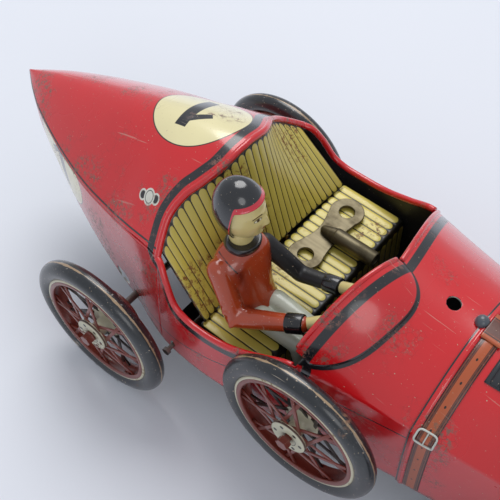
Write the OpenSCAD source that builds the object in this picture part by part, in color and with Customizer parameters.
// Tinplate clockwork racing car: pointed tail, driver, spare wheel, steering that works.
// Frame: +X forward, +Y to the car's left, +Z up; origin on the floor under the middle of the car.

/* [Wheels] */
// Diameter over the tyres
wheel_d = 88; // [70:1:100]
// Thickness of the round tyre section
tyre_t = 10.4; // [8:0.2:13]
// Distance between the wheel planes, side to side
track = 158; // [140:1:180]
// Distance between the front and rear axles
wheelbase = 262; // [240:1:300]
// Diameter of the rear axle rod
axle_d = 4; // [3:0.1:5]
// Crossed spoke pairs in each layer of a wheel
spoke_pairs = 8; // [6:1:12]
// Width of one flat spoke
spoke_w = 2.2; // [1.2:0.1:3]

/* [Sheet metal] */
// Thickness of the tinplate
tin = 0.8; // [0.4:0.1:1.5]
// Radius of the rolled cockpit edge
rim_r = 1.7; // [1:0.1:2.5]
// Height of the driver's cowl above the scuttle
cowl_h = 8.5; // [4:0.5:12]

/* [Seat] */
// Number of pleats round the seat back
back_pleats = 19; // [9:1:25]
// Number of pleats across the bench
bench_pleats = 15; // [9:1:21]
// Height of the bench top above the floor
bench_z = 79; // [70:1:84]

/* [Clockwork] */
// Gear module
gear_m = 0.8; // [0.7:0.05:1]
// Width of the square on the winding arbor
square_w = 5; // [4:0.1:6]
// Coils in the mainspring
coils = 7; // [5:1:9]

/* [Key] */
// Width across the key's bow
key_w = 54; // [40:1:60]
// Length of the key's tube
key_l = 31; // [24:1:40]

/* [Hidden] */
R = wheel_d / 2;
tail_u = -128;
X0 = -(tail_u + wheelbase + R) / 2;
pin_gap = 0.06;
spare_at = [123, -68.8, 70];
king_y = track / 2 - 11;
arm_l = 12;
rail_y = 30;
col_a = atan2(43.44, 140.95);
col_top = [112, -21.5, 94];

// stations along the body, measured forward from the rear axle: [station, value]
half_bottom = [[-128, 0.6], [-115, 9.5], [-101, 18], [-70, 31], [-46, 39.5], [-28, 44.5], [0, 51],
    [13, 56], [30, 61], [45, 62.6], [60, 62.8], [72, 62], [84, 60.6], [100, 58.2], [112, 56.2],
    [140, 51], [170, 46.5], [230, 39.5], [283, 34]];
z_bottom = [[-128, 87], [-101, 77], [-70, 64.5], [-46, 55.5], [-28, 47.5], [-10, 40.5], [0, 38.5],
    [30, 38], [100, 38], [170, 39], [215, 42], [250, 48], [283, 52]];
half_seam = [[-128, 0.6], [-115, 10], [-100, 19], [-70, 32.5], [-40, 43], [-13, 49], [0, 52],
    [27, 57.5], [36, 61.5], [43, 63.6], [60, 64.4], [72, 64], [84, 62.8], [100, 60.4], [112, 58.6],
    [140, 53.5], [170, 49], [230, 41.5], [283, 35.5]];
z_seam = [[-128, 93.5], [-100, 95], [-57, 96.5], [-13, 99], [0, 102], [27, 107], [60, 104],
    [112, 100], [170, 97], [230, 93], [283, 90]];
z_crown = [[-128, 95], [-100, 107.5], [-60, 122], [-20, 135.5], [0, 140.5], [34, 144], [80, 139],
    [124, 130], [154, 125], [170, 123.5], [230, 120.5], [283, 118]];
z_rim = [[27, 107], [31, 105.5], [36.5, 98.5], [43, 88.5], [51, 84.6], [61, 84], [72, 85],
    [82, 87.5], [95, 93], [106, 98.6], [112, 100]];
deck_edge = [[0, 34], [0.26, 32.6], [0.44, 28], [0.56, 24], [0.74, 21.6], [0.89, 24], [1, 27]];

function seg_at(u, t, i = 0) = (i >= len(t) - 2 || u < t[i + 1][0]) ? i : seg_at(u, t, i + 1);
function slope(t, i) =
    let (a = max(i - 1, 0), b = min(i + 1, len(t) - 1))
    (t[b][1] - t[a][1]) / (t[b][0] - t[a][0]);
function at(u, t) =
    let (i = seg_at(u, t), h = t[i + 1][0] - t[i][0], s = (u - t[i][0]) / h)
    (2 * s * s * s - 3 * s * s + 1) * t[i][1] + (s * s * s - 2 * s * s + s) * slope(t, i) * h
    + (3 * s * s - 2 * s * s * s) * t[i + 1][1] + (s * s * s - s * s) * slope(t, i + 1) * h;
function steps(a, b, n) = [for (i = [0:n]) a + (b - a) * i / n];

// arch of the deck: 1 at the crown, 0 at the seam; roof-like at the tail, round at the bonnet
function arch(r, p) = 1 - (pow(r * r + 0.03, p / 2) - pow(0.03, p / 2)) / (pow(1.03, p / 2) - pow(0.03, p / 2));
function arch_p(u) = u < 34 ? 1.5 : u > 112 ? 2.1 : 1.5 + 0.6 * (u - 34) / 78;
function side_pt(u, f, d = 0) =
    let (wb = at(u, half_bottom), ws = at(u, half_seam), b = 0.02 * ws)
    [u, max(0.05, wb + (ws - wb) * f + b * sin(180 * f) + d),
        at(u, z_bottom) + (at(u, z_seam) - at(u, z_bottom)) * f];
function rim_pt(u, f, d = 0) =
    let (k = (at(u, z_rim) - at(u, z_bottom)) / (at(u, z_seam) - at(u, z_bottom)))
    side_pt(u, f * k, d);
function deck_pt(u, r, d = 0) =
    let (ws = at(u, half_seam), zs = at(u, z_seam))
    [u, max(0.05, ws + d) * r, zs + (at(u, z_crown) + d - zs) * arch(abs(r), arch_p(u))];
function wrap_pt(u, t, d = 0) =
    t <= -1 ? let (p = side_pt(u, 2 + t, d)) [p[0], -p[1], p[2]]
    : t >= 1 ? side_pt(u, 2 - t, d) : deck_pt(u, t, d);
function flip_y(p) = [p[0], -p[1], p[2]];
function scuttle_edge(t) = 112 + 12 * (1 - pow(min(1, abs(t)), 1.35));

// closed sheet between an outer grid P and an inner grid Q
module sheet(P, Q, flip = false) {
    n = len(P);
    m = len(P[0]);
    o = n * m;
    quads = concat(
        [for (i = [0:n - 2]) for (j = [0:m - 2])
            [i * m + j, i * m + j + 1, (i + 1) * m + j + 1, (i + 1) * m + j]],
        [for (i = [0:n - 2]) for (j = [0:m - 2])
            [o + i * m + j, o + (i + 1) * m + j, o + (i + 1) * m + j + 1, o + i * m + j + 1]],
        [for (j = [0:m - 2]) [j, o + j, o + j + 1, j + 1]],
        [for (j = [0:m - 2]) [(n - 1) * m + j, (n - 1) * m + j + 1, o + (n - 1) * m + j + 1, o + (n - 1) * m + j]],
        [for (i = [0:n - 2]) [i * m, (i + 1) * m, o + (i + 1) * m, o + i * m]],
        [for (i = [0:n - 2]) [i * m + m - 1, o + i * m + m - 1, o + (i + 1) * m + m - 1, (i + 1) * m + m - 1]]);
    tris = [for (q = quads) each [[q[0], q[1], q[2]], [q[0], q[2], q[3]]]];
    polyhedron(points = concat([for (r = P) each r], [for (r = Q) each r]),
        faces = flip ? [for (f = tris) [f[2], f[1], f[0]]] : tris, convexity = 6);
}

// closed round bead along a path
function unit(v) = v / norm(v);
function along(p, i) = unit(p[min(i + 1, len(p) - 1)] - p[max(i - 1, 0)]);
module bead(path, r, n = 8, up = [0, 0, 1]) {
    m = len(path);
    pts = [for (i = [0:m - 1])
        let (t = along(path, i), a = unit(cross(t, up)), b = cross(a, t))
        for (k = [0:n - 1]) path[i] + r * (cos(360 * k / n) * a + sin(360 * k / n) * b)];
    faces = concat(
        [for (i = [0:m - 2]) for (k = [0:n - 1]) each
            [[i * n + k, i * n + (k + 1) % n, (i + 1) * n + (k + 1) % n],
            [i * n + k, (i + 1) * n + (k + 1) % n, (i + 1) * n + k]]],
        [[for (k = [n - 1:-1:0]) k]], [[for (k = [0:n - 1]) (m - 1) * n + k]]);
    polyhedron(points = pts, faces = faces, convexity = 6);
}

// solid skin through a stack of closed rings
module loft(rings) {
    m = len(rings);
    n = len(rings[0]);
    faces = concat(
        [for (i = [0:m - 2]) for (k = [0:n - 1]) each
            [[i * n + k, (i + 1) * n + k, (i + 1) * n + (k + 1) % n],
            [i * n + k, (i + 1) * n + (k + 1) % n, i * n + (k + 1) % n]]],
        [[for (k = [0:n - 1]) k]], [[for (k = [n - 1:-1:0]) (m - 1) * n + k]]);
    polyhedron(points = [for (r = rings) each r], faces = faces, convexity = 4);
}
function oval(c, a, b, n = 24) = [for (k = [0:n - 1]) c + [a * cos(360 * k / n), b * sin(360 * k / n), 0]];

module car() { translate([X0, 0, 0]) children(); }
module rod_y(u, z, y0, y1, r, n = 48) {
    translate([u, y1, z]) rotate([90, 0, 0]) cylinder(h = y1 - y0, r = r, $fn = n);
}

// ---- body shells ----
module side_sheet(s, us, top) {
    function pt(u, f, d) = let (p = top ? rim_pt(u, f, d) : side_pt(u, f, d)) [p[0], s * p[1], p[2]];
    P = [for (u = us) [for (f = steps(0, 1, 8)) pt(u, f, 0)]];
    Q = [for (u = us) [for (f = steps(0, 1, 8)) pt(u, f, -tin)]];
    sheet(P, Q, s > 0);
}
tail_us = concat(steps(-128, -100, 4), steps(-93, -7, 9), steps(0, 27, 4));
cock_us = concat(steps(27.1, 45, 6), steps(49, 112, 12));
start_slot = [12, 50];
lever_pin = [24.4, -7.4];
pin_r = norm(lever_pin);

module tail_side_right() {
    color("#C8202A") car() difference() {
        side_sheet(-1, tail_us, false);
        translate([-13, -30, 47]) rotate([90, 40, 0]) cylinder(h = 40, r = 4.2, $fn = 32);
        rod_y(0, R, -70, -30, axle_d / 2 + 0.5);
    }
}
module tail_side_left() {
    color("#C8202A") car() difference() {
        side_sheet(1, tail_us, false);
        rod_y(0, R, 30, 70, axle_d / 2 + 0.5);
    }
}
module tail_deck() {
    rs = steps(-1, 1, 18);
    fs = steps(0, 1, 20);
    P = [for (f = fs) [for (r = rs) deck_pt(tail_u + (at(abs(r), deck_edge) - tail_u) * f, r)]];
    Q = [for (f = fs) [for (r = rs) deck_pt(tail_u + (at(abs(r), deck_edge) - tail_u) * f, r, -tin)]];
    color("#C8202A") car() union() {
        sheet(P, Q);
        bead([for (r = steps(-0.985, 0.985, 36)) deck_pt(at(abs(r), deck_edge), r, -tin / 2)], rim_r);
    }
}
module cockpit_side(s) {
    color("#C8202A") car() union() {
        side_sheet(s, cock_us, true);
        bead([for (u = steps(28.6, 110.6, 36)) let (p = rim_pt(u, 1, -tin / 2)) [p[0], s * p[1], p[2]]], rim_r);
    }
}
module cockpit_side_right() {
    difference() {
        cockpit_side(-1);
        color("#C8202A") car() intersection() {
            translate([start_slot[0], -50, start_slot[1]]) rotate([90, 0, 0]) difference() {
                cylinder(h = 30, r = pin_r + 1.6, $fn = 96);
                translate([0, 0, -1]) cylinder(h = 32, r = pin_r - 1.6, $fn = 96);
            }
            translate([28, -90, 39.6]) cube([16, 50, 7.6]);
        }
    }
}
module cockpit_side_left() {
    difference() {
        cockpit_side(1);
        color("#C8202A") car() rod_y(arbor_m[0], arbor_m[1], 50, 80, 4.6);
    }
}
// stands children on the crown at u, square to the tin
module on_crown(u) {
    slope = (at(u + 4, z_crown) - at(u - 4, z_crown)) / 8;
    translate([u, 0, at(u, z_crown)]) rotate([0, -atan(slope), 0]) children();
}
wrap_ts = concat(steps(-2, -1, 6), steps(-0.92, 0.92, 22), steps(1, 2, 6));
module scuttle() {
    fs = steps(0, 1, 9);
    P = [for (f = fs) [for (t = wrap_ts) let (a = scuttle_edge(t)) wrap_pt(a + 0.1 + (169.9 - a) * f, t)]];
    Q = [for (f = fs) [for (t = wrap_ts) let (a = scuttle_edge(t)) wrap_pt(a + 0.1 + (169.9 - a) * f, t, -tin)]];
    color("#C8202A") car() difference() {
        union() {
            sheet(P, Q);
            bead([for (t = steps(0.02, 1, 22)) wrap_pt(scuttle_edge(t) + 0.6, t, -tin / 2)], rim_r * 0.8);
            on_crown(154) translate([0, 0, -2]) cylinder(h = 1.5, r = 6.6, $fn = 64);
        }
        on_crown(154) translate([0, 0, -8]) cylinder(h = 16, r = 4.6, $fn = 64);
        rod_y(spare_at[0], spare_at[2], -70, -30, 2.1);
    }
}
module bonnet() {
    us = concat(steps(168.4, 172, 1), steps(180, 282.6, 10));
    P = [for (u = us) [for (t = wrap_ts) wrap_pt(u, t, tin + 0.05)]];
    Q = [for (u = us) [for (t = wrap_ts) wrap_pt(u, t, 0.05)]];
    color("#C8202A") car() sheet(P, Q);
}

// raised cowl in front of the driver
function cowl_uy(s, v) =
    let (y = -57 * s, u0 = 124 - 15 * pow(s, 1.3),
        d = 22 * pow(max(0, 1 - pow(abs(2 * s - 1), 3)), 0.6))
    [u0 + d * v, y];
function cowl_pt(s, v, d) =
    let (q = cowl_uy(s, v), w = at(q[0], half_seam), r = min(0.99, -q[1] / w), b = deck_pt(q[0], r),
        h = cowl_h * pow(max(0, sin(180 * s)), 0.7) * (1 - v * v))
    [q[0], q[1], b[2] + h + d];
module driver_cowl() {
    ss = steps(0.03, 0.97, 20);
    vs = steps(0, 1, 8);
    P = [for (s = ss) [for (v = vs) cowl_pt(s, v, tin + 1.2)]];
    Q = [for (s = ss) [for (v = vs) cowl_pt(s, v, 1.15)]];
    color("#C8202A") car() union() {
        sheet(P, Q);
        bead([for (s = steps(0.05, 0.95, 24)) cowl_pt(s, 0, tin + 0.8)], rim_r * 0.75);
    }
}
module hinge_dome() {
    color("#5A5F66") car() on_crown(164.6) translate([0, 0, 0.12])
        intersection() {
            sphere(r = 3.6, $fn = 32);
            translate([-5, -5, 0]) cube([10, 10, 5]);
        }
}
module band(u0, u1, d0, d1, t0, t1, n = 30) {
    us = steps(u0, u1, 2);
    P = [for (u = us) [for (t = steps(t0, t1, n)) wrap_pt(u, t, d1)]];
    Q = [for (u = us) [for (t = steps(t0, t1, n)) wrap_pt(u, t, d0)]];
    sheet(P, Q);
}
module bonnet_strap() { color("#9A4A28") car() band(174, 185, 1.6, 2.15, -1.95, 1.95, 60); }
module strap_buckle() {
    color("#C9CCD0") car() difference() {
        band(172.6, 186.4, 2.3, 3.1, -1.13, -0.86, 8);
        band(175.2, 183.8, 1.8, 3.7, -1.1, -0.89, 8);
    }
}
module louvres(s) {
    us = steps(190, 270, 40);
    rs = steps(0.2, 0.62, 3);
    color("#2A2D32") car() {
        P = [for (u = us) [for (r = rs)
            deck_pt(u, s * r, 1) + [0, 0, 0.7 + 1.4 * ((u - 190) / 8 - floor((u - 190) / 8))]]];
        Q = [for (u = us) [for (r = rs) deck_pt(u, s * r, 1) + [0, 0, 0.3]]];
        sheet(P, Q, s < 0);
    }
}
module louvre_panels() { louvres(-1); louvres(1); }

function section(u, d, zmin) = [for (t = wrap_ts) let (p = wrap_pt(u, t, d)) if (p[2] > zmin) [p[1], p[2]]];
module plate_x(u, h, d, zmin) {
    translate([u, 0, 0]) rotate([90, 0, 90]) linear_extrude(h) polygon(section(u, d, zmin));
}
module radiator_cap() {
    translate([288.8, 0, at(283, z_crown) + 1.3]) union() {
        cylinder(h = 3.2, r = 4.2, $fn = 48);
        translate([0, 0, 3.2]) cylinder(h = 2.4, r = 5.6, $fn = 12);
        translate([0, 0, 5.6]) cylinder(h = 1.6, r1 = 3.4, r2 = 2, $fn = 48);
    }
}
module radiator_shell() {
    color("#D8DADC") car() union() {
        difference() {
            plate_x(283.7, 11, 1.4, 51);
            plate_x(290.7, 5, -5, 56);
            plate_x(281.7, 9.2, -4.2, 57);
            for (s = [-1, 1]) translate([280, s * rail_y - 2.2, 52.4]) cube([20, 4.4, 4.8]);
        }
        radiator_cap();
    }
}
module radiator_core() { color("#3B3E42") car() plate_x(287.2, 2.4, -4.6, 57.5); }
module rails() {
    for (s = [-1, 1]) {
        translate([120, s * rail_y - 2, 52.6]) cube([176, 4, 4]);
        for (u = [140, 215]) translate([u, s * rail_y - 2, 38.4]) cube([4, 4, 14.4]);
    }
}
module floor_pan() {
    us = steps(24, 224, 20);
    side = [for (u = us) [u, min(at(u, half_bottom), at(u, half_seam)) - tin - 0.6]];
    color("#2B2B2C") car() union() {
        translate([0, 0, 38]) linear_extrude(tin)
            polygon(concat(side, [for (i = [len(side) - 1:-1:0]) [side[i][0], -side[i][1]]]));
        rails();
        difference() {
            for (s = [-1, 1]) translate([60, s * 44 - 2, 38.4]) cube([30, 4, bench_z - 2.7 - 38.4]);
            rod_y(arbor_m[0], arbor_m[1], 30, 60, 3.6 + pin_gap);
        }
    }
}
module column_hole(u, r) {
    translate([u, col_top[1], col_top[2] - (u - col_top[0]) * tan(col_a)])
        rotate([0, 90 + col_a, 0]) translate([0, 0, -14]) cylinder(h = 28, r = r, $fn = 32);
}
module dashboard() {
    color("#26282B") car() union() {
        difference() {
            plate_x(130, 1, -1.3, 88);
            column_hole(130.5, 3.2);
        }
        for (g = [[12, 106, 6], [27, 103, 6], [40, 98, 4]])
            translate([130.2, g[0], g[1]]) rotate([0, -90, 0]) cylinder(h = 1.4, r = g[2], $fn = 48);
    }
}
module bulkhead() {
    color("#2B2B2C") car() difference() {
        plate_x(166.6, 0.8, -1.3, 42);
        column_hole(167, 3.4);
        for (s = [-1, 1]) translate([160, s * rail_y - 3, 51.6]) cube([16, 6, 6]);
    }
}

// ---- seat ----
back_u = [[0, 34.6], [0.3, 32.8], [0.55, 28.4], [0.75, 27.6], [0.9, 32.5], [1, 44]];
back_z = [[0, 139], [0.3, 134], [0.55, 119.5], [0.75, 110], [0.9, 102.5], [1, 86]];
function back_pt(q, f, d) =
    let (a = abs(q),
        u = (at(a, back_u) - 2) * f + (53 + 3 * a * a) * (1 - f) + d,
        z = (at(a, back_z) - 3.2) * f + (bench_z + 0.6) * (1 - f))
    [u, q * (53.5 * f + 57.5 * (1 - f)), z];
module seat_back() {
    n = back_pleats * 4;
    P = [for (k = [0:n]) [for (f = steps(0, 1, 5)) back_pt(2 * k / n - 1, f, 1.1 + 0.9 * abs(sin(180 * k * back_pleats / n)))]];
    Q = [for (k = [0:n]) [for (f = steps(0, 1, 5)) back_pt(2 * k / n - 1, f, 0.2)]];
    color("#C9B45A") car() sheet(P, Q);
}
module seat_bench() {
    w = 118;
    p = w / bench_pleats;
    scallop = [for (k = [0:bench_pleats - 1]) for (i = [0:5]) [-w / 2 + p * (k + i / 6), 1.2 * sin(30 * i)]];
    color("#D2BE62") car() union() {
        translate([55, 0, bench_z - 2.4]) rotate([90, 0, 90]) linear_extrude(40)
            polygon(concat([[-w / 2, 0]], [for (s = scallop) s + [0, 1.2]], [[w / 2, 1.2], [w / 2, 0]]));
        translate([94, 0, 48.6]) rotate([0, 2, 0]) linear_extrude(bench_z - 49)
            polygon(concat([[-0.6, -w / 2]], [for (s = scallop) [s[1] + 0.8, s[0]]], [[0.8, w / 2], [-0.6, w / 2]]));
    }
}
// ---- driver figure ----
driver_at = [60, -31.5];
head_at = [56, -29.5];
module driver_torso() {
    rings = [for (k = [[79.6, 11.5, 12.5, 10], [84, 12.5, 13.4, 8.5], [90, 12, 12.4, 6], [98, 11.5, 11.2, 3],
        [106, 11.5, 11.2, 1], [112, 11, 11, -1], [116, 9.5, 9.5, -2], [119, 7, 7.4, -2.5], [121, 5.8, 6.2, -2.6],
        [125.6, 5.6, 6, -2.6]])
        oval([k[3], 0, k[0]], k[1], k[2])];
    color("#A83A22") car() translate(driver_at) rotate([0, 0, -10]) loft(rings);
}
head_rings = [[126, 6.4, 6, -0.6], [128, 9, 8, 0.6], [131, 12, 10, 0.4], [136, 13.8, 11.9, 0], [141, 14.4, 12.6, -0.2],
    [146, 14, 12.4, -0.6]];
module driver_head() {
    color("#D9C58C") on_neck() union() {
        loft([for (k = head_rings) oval([k[3], 0, k[0]], k[1], k[2])]);
        translate([13.8, 0, 137]) sphere(r = 2.1, $fn = 24);
    }
}
module on_neck() {
    car() translate(head_at + [0, 0, 124]) rotate([0, 0, 14]) scale(0.87) translate([0, 0, -124]) children();
}
module driver_helmet() {
    rings = [for (k = [[146.1, 15.2, 13.6, -0.8], [150, 15, 13.4, -1.2], [155, 13.4, 12, -1.6], [159.5, 9.8, 8.8, -2],
        [162.4, 4, 3.6, -2.2]])
        oval([k[3], 0, k[0]], k[1], k[2])];
    back = [for (k = [[130, 5.8, 10.4, -9.6], [136, 7.3, 12.8, -9.2], [141, 8, 13.6, -8.6], [146, 8, 13.6, -8.4]])
        oval([k[3], 0, k[0]], k[1], k[2])];
    inside = concat([[125, 9.4, 8.3, 0.6]], [for (k = [for (i = [2:5]) head_rings[i]]) k + [0, 0.3, 0.3, 0]]);
    color("#1C1E22") on_neck() difference() {
        union() {
            loft(rings);
            translate([0, 0, 0.1]) loft(back);
        }
        loft([for (k = inside) oval([k[3], 0, k[0]], k[1], k[2])]);
    }
}
module limb(pts) {
    for (i = [0:len(pts) - 2]) hull() {
        translate([pts[i][0], pts[i][1], pts[i][2]]) sphere(r = pts[i][3], $fn = 20);
        translate([pts[i + 1][0], pts[i + 1][1], pts[i + 1][2]]) sphere(r = pts[i + 1][3], $fn = 20);
    }
}
module hand(p) { translate(p) sphere(r = 3.4, $fn = 24); }
module driver_arm_right() {
    color("#A83A22") car() union() {
        limb([[55, -49, 110, 5.2], [71, -51.5, 88.5, 5], [105, -36.4, 101, 3.8]]);
        hand([109.8, -32.5, 103.4]);
    }
}
module driver_arm_left() {
    color("#A83A22") car() union() {
        limb([[62, -15.2, 108, 5], [82, -9, 90, 4.8], [105, -8, 101, 3.8]]);
        hand([109.8, -10.5, 103.4]);
    }
}
module driver_legs() {
    color("#BEC3B4") car() for (s = [-1, 1]) {
        y = driver_at[1] + (s < 0 ? -9 : 3);
        limb([[92, y, 85.4, 5.2], [101, y, 84.2, 4.8], [110, y, 48, 4.4]]);
        translate([107, y - 4.5, 38.9]) cube([19, 9, 5]);
    }
}

// ---- wheels: axis along local z, outer face at +z ----
module outward(u, y, z) { translate([u, y, z]) rotate([y < 0 ? 90 : -90, 0, 0]) children(); }
module tyre() {
    color("#23262A") rotate_extrude($fn = 96) difference() {
        translate([R - tyre_t / 2, 0]) circle(r = tyre_t / 2, $fn = 40);
        translate([R - tyre_t - 2, -8]) square([2.4, 16]);
    }
}
module lattice(turn) {
    linear_extrude(0.8) intersection() {
        union() for (i = [0:spoke_pairs - 1]) rotate(turn + 360 * i / spoke_pairs) for (s = [-1, 1])
            rotate(52 * s) translate([8, 0]) rotate(-atan2(31.8 * sin(52 * s), 31.8 * cos(52) - 8))
                translate([0, -spoke_w / 2]) square([28, spoke_w]);
        circle(r = 31.9, $fn = 72);
    }
}
module wheel(bore) {
    ri = R - tyre_t + 0.4;
    color("#7A3728") difference() {
        union() {
            rotate_extrude($fn = 96)
                polygon([[ri - 2.6, -4.4], [ri, -4.4], [ri, 4.4], [ri - 2.6, 4.4], [ri - 1.6, 2.6], [ri - 1.6, -2.6]]);
            translate([0, 0, 3]) lattice(0);
            translate([0, 0, -3.8]) lattice(180 / spoke_pairs);
            translate([0, 0, -5]) cylinder(h = 11.2, r = 4.4, $fn = 48);
            translate([0, 0, 2.2]) cylinder(h = 4.8, r = 10, $fn = 64);
            translate([0, 0, 7]) cylinder(h = 1.4, r = 4.4, $fn = 48);
            translate([0, 0, -4.6]) cylinder(h = 1.8, r = 10, $fn = 64);
        }
        translate([0, 0, -20]) cylinder(h = 40, r = bore, $fn = 48);
    }
}
module wheel_nut(bore) {
    translate([0, 0, 8.4]) difference() {
        cylinder(h = 3.4, r = 3.4, $fn = 6);
        translate([0, 0, -1]) cylinder(h = 3.2, r = bore, $fn = 48);
    }
}
module drum(bore) {
    color("#6E3226") difference() {
        translate([0, 0, -16]) cylinder(h = 9, r = 13, $fn = 64);
        for (a = [0:60:300]) rotate(a) translate([8.4, 0, -9]) cylinder(h = 3, r = 2.3, $fn = 32);
        translate([0, 0, -20]) cylinder(h = 40, r = bore, $fn = 48);
    }
}
ty = track / 2;
rr_at = [0, -ty, R];
rl_at = [0, ty, R];
fr_at = [wheelbase, -ty, R];
fl_at = [wheelbase, ty, R];
ab = axle_d / 2;
sb = 1.6 + pin_gap;
module put(p) { car() outward(p[0], p[1], p[2]) children(); }

module tyre_rear_right() { put(rr_at) tyre(); }
module wheel_rear_right() { put(rr_at) wheel(ab); }
module tyre_rear_left() { put(rl_at) tyre(); }
module wheel_rear_left() { put(rl_at) wheel(ab); }
module drums_rear() { put(rr_at) drum(ab); put(rl_at) drum(ab); }
module nuts_rear() { color("#6E3226") { put(rr_at) wheel_nut(ab); put(rl_at) wheel_nut(ab); } }
module tyre_front_right() { put(fr_at) tyre(); }
module wheel_front_right() { put(fr_at) wheel(sb); }
module tyre_front_left() { put(fl_at) tyre(); }
module wheel_front_left() { put(fl_at) wheel(sb); }
module tyre_spare() { put(spare_at) tyre(); }
module wheel_spare() { put(spare_at) wheel(2 + pin_gap); }
module spare_bracket() {
    w = wrap_pt(spare_at[0], -1.42, 0.1);
    color("#6E3226") union() {
        car() rod_y(spare_at[0], spare_at[2], spare_at[1] - 11, -46, 2);
        car() rod_y(spare_at[0], spare_at[2], spare_at[1] + 5.4, w[1] - 1.6, 7.5);
        put(spare_at) translate([0, 0, 0.2]) wheel_nut(1);
    }
}

// ---- rear axle and clockwork ----
p_i2 = [26.7, 61.8];
p_i1 = [49, 58.9];
arbor_m = [71.47, 57.9];
n_axle = 36;
n_wheel = 44;
n_pin = 12;
n_great = 44;
function bearing(a, b) = atan2(b[1] - a[1], b[0] - a[0]);
function mesh_phase(a, n1, p1, b, n2) =
    let (al = bearing(a, b)) al + 180 - (0.5 - (al - p1) * n1 / 360) * 360 / n2;
ph_axle = 0;
ph_i2w = mesh_phase([0, R], n_axle, ph_axle, p_i2, n_wheel);
ph_i1w = mesh_phase(p_i2, n_pin, ph_i2w, p_i1, n_wheel);
ph_great = mesh_phase(p_i1, n_pin, ph_i1w, arbor_m, n_great);
module gear2d(n, phase) {
    m = gear_m;
    rp = m * n / 2;
    ro = rp + 0.8 * m;
    rf = rp - 1.15 * m;
    p = 360 / n;
    rotate(phase) polygon([for (i = [0:n - 1]) each [
        [rf * cos(p * (i - 0.28)), rf * sin(p * (i - 0.28))], [rp * cos(p * (i - 0.21)), rp * sin(p * (i - 0.21))],
        [ro * cos(p * (i - 0.1)), ro * sin(p * (i - 0.1))], [ro * cos(p * (i + 0.1)), ro * sin(p * (i + 0.1))],
        [rp * cos(p * (i + 0.21)), rp * sin(p * (i + 0.21))], [rf * cos(p * (i + 0.28)), rf * sin(p * (i + 0.28))]]]);
}
module gear(c, y0, y1, n, phase, bore) {
    translate([c[0], y1, c[1]]) rotate([90, 0, 0]) difference() {
        linear_extrude(y1 - y0) gear2d(n, phase);
        if (bore > 0) translate([0, 0, -1]) cylinder(h = y1 - y0 + 2, r = bore, $fn = 48);
    }
}
module rear_axle() {
    color("#6E3226") car() union() {
        rod_y(0, R, -ty - 10.4, ty + 10.4, ab);
        for (y = [-11, 11]) rod_y(0, R, y - 2, y + 2, 4);
        rod_y(0, R, -17.2, -15.5, 5);
    }
}
module axle_gear() { color("#C8A24A") car() gear([0, R], 4.5, 7.5, n_axle, ph_axle, ab); }
module plate_shape() {
    difference() {
        hull() {
            translate([0, R]) circle(r = 5, $fn = 48);
            translate([4, 66]) circle(r = 5, $fn = 48);
            translate([89, 71]) circle(r = 4, $fn = 48);
            translate([89, 44]) circle(r = 4, $fn = 48);
        }
        translate([0, R]) circle(r = ab + pin_gap, $fn = 48);
        for (p = [p_i2, p_i1]) translate(p) circle(r = 1.5 + pin_gap, $fn = 48);
        translate(arbor_m) circle(r = 2.5 + pin_gap, $fn = 48);
        translate(start_slot) circle(r = 1.5, $fn = 48);
    }
}
module plate(y) { translate([0, y, 0]) rotate([90, 0, 0]) linear_extrude(1.2) plate_shape(); }
pillars = [[-0.6, 64.6], [90, 44], [90, 71.5], [36, 41.8]];
module foot(s) {
    for (u = [44, 74]) translate([u, s > 0 ? 15.2 : -23.2, 38.9]) cube([8, 8, 1.2]);
    for (u = [44, 74]) translate([u, s > 0 ? 15.2 : -16.4, 38.9]) cube([8, 1.2, 6]);
}
module plate_right() {
    color("#A9ACB0") car() union() {
        plate(-14);
        foot(-1);
        rod_y(start_slot[0], start_slot[1], -18.4, -14, 1.5);
    }
}
module plate_left() {
    color("#A9ACB0") car() union() {
        plate(15.2);
        foot(1);
        for (p = pillars) rod_y(p[0], p[1], -14, 14.6, p[1] > 60 ? 2 : p[0] < 50 ? 1 : 2);
    }
}
module spring_coil() {
    n = coils * 20;
    c = [for (i = [0:n]) let (a = 360 * coils * i / n, r = 4.2 + (16.6 - 4.2) * i / n) [r * cos(a), r * sin(a)]];
    d = [for (i = [n:-1:0]) let (a = 360 * coils * i / n, r = 4.75 + (16.6 - 4.2) * i / n) [r * cos(a), r * sin(a)]];
    linear_extrude(13) polygon(concat(c, d));
}
module mainspring() {
    color("#5B6672") car() union() {
        translate([arbor_m[0], 8, arbor_m[1]]) rotate([90, 0, 0]) spring_coil();
        translate([arbor_m[0] + 15.4, -5, arbor_m[1] - 12.4]) cube([1.2, 13, 13.2]);
    }
}
module ratchet2d() {
    polygon([for (i = [0:15]) each [[5.6 * cos(22.5 * i), 5.6 * sin(22.5 * i)],
        [7 * cos(22.5 * i + 1), 7 * sin(22.5 * i + 1)], [6.3 * cos(22.5 * i + 12), 6.3 * sin(22.5 * i + 12)]]]);
}
module winding_arbor() {
    color("#B9BCC0") car() union() {
        rod_y(arbor_m[0], arbor_m[1], -15.2, 52, 2.5);
        rod_y(arbor_m[0], arbor_m[1], -5, 8, 3.9);
        rod_y(arbor_m[0], arbor_m[1], 15.6, 52, 3.6);
        translate([arbor_m[0] - square_w / 2, 52, arbor_m[1] - square_w / 2]) cube([square_w, 13.5, square_w]);
        translate([arbor_m[0], -8.2, arbor_m[1]]) rotate([90, 0, 0]) linear_extrude(1.6) ratchet2d();
    }
}
click_p = arbor_m + [-9.2, 9.2];
module great_wheel() {
    color("#C8A24A") car() union() {
        gear(arbor_m, -12.5, -10.5, n_great, ph_great, 2.5 + pin_gap);
        rod_y(click_p[0], click_p[1], -10.5, -8, 1.2);
    }
}
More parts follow.
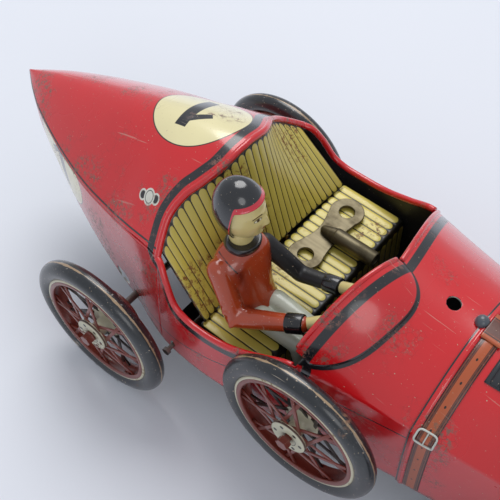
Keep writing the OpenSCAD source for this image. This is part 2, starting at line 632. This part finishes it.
module click() {
    color("#B9BCC0") car() translate([click_p[0], -8.2, click_p[1]]) rotate([90, 0, 0]) difference() {
        union() {
            cylinder(h = 1.6, r = 2.3, $fn = 40);
            linear_extrude(1.6) polygon([[0, 1.6], [7.6, -1.1], [7.4, -2.4], [0, -1.8]]);
        }
        translate([0, 0, -1]) cylinder(h = 4, r = 1.2 + pin_gap, $fn = 40);
    }
}
module train_arbor_1() {
    color("#C8A24A") car() union() {
        rod_y(p_i1[0], p_i1[1], -15.2, 15.2, 1.5);
        gear(p_i1, -13, -10, n_pin, ph_i1w, 0);
        gear(p_i1, 10.5, 12.5, n_wheel, ph_i1w, 0);
    }
}
module train_arbor_2() {
    color("#C8A24A") car() union() {
        rod_y(p_i2[0], p_i2[1], -15.2, 15.2, 1.5);
        gear(p_i2, 10, 13, n_pin, ph_i2w, 0);
        gear(p_i2, 5, 7, n_wheel, ph_i2w, 0);
    }
}
module brake_lever() {
    color("#B9BCC0") car() difference() {
        union() {
            rod_y(start_slot[0], start_slot[1], -17, -15.6, 3.2);
            translate([start_slot[0], -15.6, start_slot[1]]) rotate([90, 0, 0]) linear_extrude(1.4)
                polygon([[-1, 2.6], [25.6, -5.6], [24.8, -9.2], [-2.6, -2.4]]);
            translate([start_slot[0], -15.6, start_slot[1]]) rotate([90, 0, 0]) linear_extrude(1.4)
                polygon([[0, 2.6], [-14, 1.8], [-14, -0.3], [-9, -0.3], [0, -2.6]]);
            rod_y(start_slot[0] + lever_pin[0], start_slot[1] + lever_pin[1], -66, -15.6, 1.3);
            rod_y(start_slot[0] + lever_pin[0], start_slot[1] + lever_pin[1], -68, -66, 2.2);
        }
        rod_y(start_slot[0], start_slot[1], -20, -14, 1.5 + pin_gap);
    }
}
// ---- front axle and steering ----
module front_beam() {
    color("#6E3226") car() union() {
        rod_y(wheelbase, R, -king_y + 5.6, king_y - 5.6, 2.6);
        for (s = [-1, 1]) {
            translate([wheelbase - 3, s * (king_y - 4.8) - 1.6, 36.4]) cube([6, 3.2, 15.2]);
            for (z = [36.4, 49.2]) difference() {
                union() {
                    translate([wheelbase, s * king_y, z]) cylinder(h = 2.4, r = 3, $fn = 48);
                    translate([wheelbase - 3, s > 0 ? king_y - 4.6 : -king_y, z]) cube([6, 4.6, 2.4]);
                }
                translate([wheelbase, s * king_y, z - 1]) cylinder(h = 5, r = 1.4, $fn = 48);
            }
            translate([wheelbase, s * king_y, 35.6]) cylinder(h = 16.4, r = 1.5, $fn = 48);
            translate([wheelbase, s * king_y, 51.4]) cylinder(h = 1.2, r = 2.6, $fn = 48);
        }
    }
}
module stub(s) {
    color("#6E3226") car() difference() {
        union() {
            translate([wheelbase, s * king_y, 39]) cylinder(h = 10, r = 2.8, $fn = 48);
            translate([wheelbase, s > 0 ? king_y + 20.6 : -king_y, R]) rotate([90, 0, 0]) cylinder(h = 20.6, r = 1.6, $fn = 48);
            translate([wheelbase, s > 0 ? king_y + 5 : -king_y, R]) rotate([90, 0, 0]) cylinder(h = 5, r = 2.6, $fn = 48);
            translate([wheelbase - arm_l, s * king_y - 1.6, 39.2]) cube([arm_l, 3.2, 1.8]);
            translate([wheelbase - arm_l, s * king_y, 39.2]) cylinder(h = 1.8, r = 2.4, $fn = 48);
            translate([wheelbase - arm_l, s * king_y, 35.4]) cylinder(h = 4, r = 1.1, $fn = 48);
        }
        translate([wheelbase, s * king_y, 30]) cylinder(h = 30, r = 1.5 + pin_gap, $fn = 48);
    }
    color("#6E3226") put(s > 0 ? fl_at : fr_at) translate([0, 0, 0.2]) wheel_nut(1);
}
module stub_right() { stub(-1); }
module stub_left() { stub(1); }
module tie_rod() {
    u = wheelbase - arm_l;
    color("#B9BCC0") car() difference() {
        union() {
            rod_y(u, 37.6, -king_y + 2, king_y - 2, 1.2);
            for (s = [-1, 1]) translate([u, s * king_y, 36.5]) cylinder(h = 2.2, r = 2.5, $fn = 48);
            translate([u, col_top[1], 37.6]) cylinder(h = 3.4, r = 0.8, $fn = 32);
            translate([u, col_top[1], 41]) sphere(r = 1.4, $fn = 32);
        }
        for (s = [-1, 1]) translate([u, s * king_y, 35]) cylinder(h = 5, r = 1.1 + pin_gap, $fn = 48);
    }
}
module on_column(d) { car() translate(col_top) rotate([0, 90 + col_a, 0]) translate([0, 0, d]) children(); }
module steering_wheel() {
    color("#2A2422") on_column(0) union() {
        rotate_extrude($fn = 64) translate([12.5, 0]) circle(r = 1.2, $fn = 24);
        for (a = [45:90:315]) rotate(a) translate([3, -1, -0.5]) cube([9, 2, 1]);
        difference() {
            translate([0, 0, -1.4]) cylinder(h = 2.8, r = 3.4, $fn = 40);
            translate([0, 0, -0.6]) cylinder(h = 5, r = 1.8, $fn = 40);
        }
    }
}
module steering_column() {
    color("#8B8E93") on_column(0) union() {
        translate([0, 0, -0.6]) cylinder(h = 149.6, r = 1.8, $fn = 40);
        difference() {
            translate([0, -3.7, 145.6]) cube([10.4, 7.4, 3]);
            translate([7.2, -2.2, 144]) cube([7, 4.4, 6]);
        }
    }
}
module leaf_springs() {
    color("#4A4D52") car() for (s = [-1, 1]) translate([wheelbase, s * rail_y + 2.5, 0]) rotate([90, 0, 0]) union() {
        linear_extrude(5) intersection() {
            translate([0, 46.7 + 90]) difference() {
                circle(r = 90, $fn = 240);
                circle(r = 87.6, $fn = 240);
            }
            translate([-29, 40]) square([48.5, 12.4]);
        }
        translate([-4, 46.6]) linear_extrude(5) square([8, 0.3]);
    }
}

// ---- winding key, lying on the passenger side of the bench ----
key_at = [69.5, 24, bench_z + 0.25];
module on_seat() { car() translate(key_at) children(); }
module key_bow() {
    e = key_w / 2 - 9;
    color("#8C7D5F") on_seat() difference() {
        union() {
            for (s = [-1, 1]) translate([0, s * e, 0]) cylinder(h = 2, r = 9, $fn = 64);
            linear_extrude(2) polygon([[-8.6, -e], [-4.4, -7], [-4.4, 7], [-8.6, e], [8.6, e], [7, 7], [7, -7], [8.6, -e]]);
        }
        for (s = [-1, 1]) translate([0, s * e, -1]) cylinder(h = 4, r = 4.6, $fn = 48);
    }
}
module key_tube() {
    color("#9A8C6C") on_seat() translate([7.1, 0, 4.5]) rotate([0, 90, 0]) difference() {
        cylinder(h = key_l - 7, r = 4.3, $fn = 48);
        translate([-square_w / 2 - 0.15, -square_w / 2 - 0.15, key_l - 19]) cube([square_w + 0.3, square_w + 0.3, 14]);
    }
}

tail_side_right();
tail_side_left();
tail_deck();
cockpit_side_right();
cockpit_side_left();
scuttle();
driver_cowl();
bonnet();
hinge_dome();
bonnet_strap();
strap_buckle();
louvre_panels();
radiator_shell();
radiator_core();
floor_pan();
dashboard();
bulkhead();
seat_back();
seat_bench();
driver_torso();
driver_head();
driver_helmet();
driver_arm_right();
driver_arm_left();
driver_legs();
tyre_rear_right();
wheel_rear_right();
tyre_rear_left();
wheel_rear_left();
drums_rear();
nuts_rear();
rear_axle();
axle_gear();
tyre_front_right();
wheel_front_right();
tyre_front_left();
wheel_front_left();
tyre_spare();
wheel_spare();
spare_bracket();
plate_right();
plate_left();
mainspring();
winding_arbor();
great_wheel();
click();
train_arbor_1();
train_arbor_2();
brake_lever();
front_beam();
stub_right();
stub_left();
tie_rod();
steering_wheel();
steering_column();
leaf_springs();
key_bow();
key_tube();
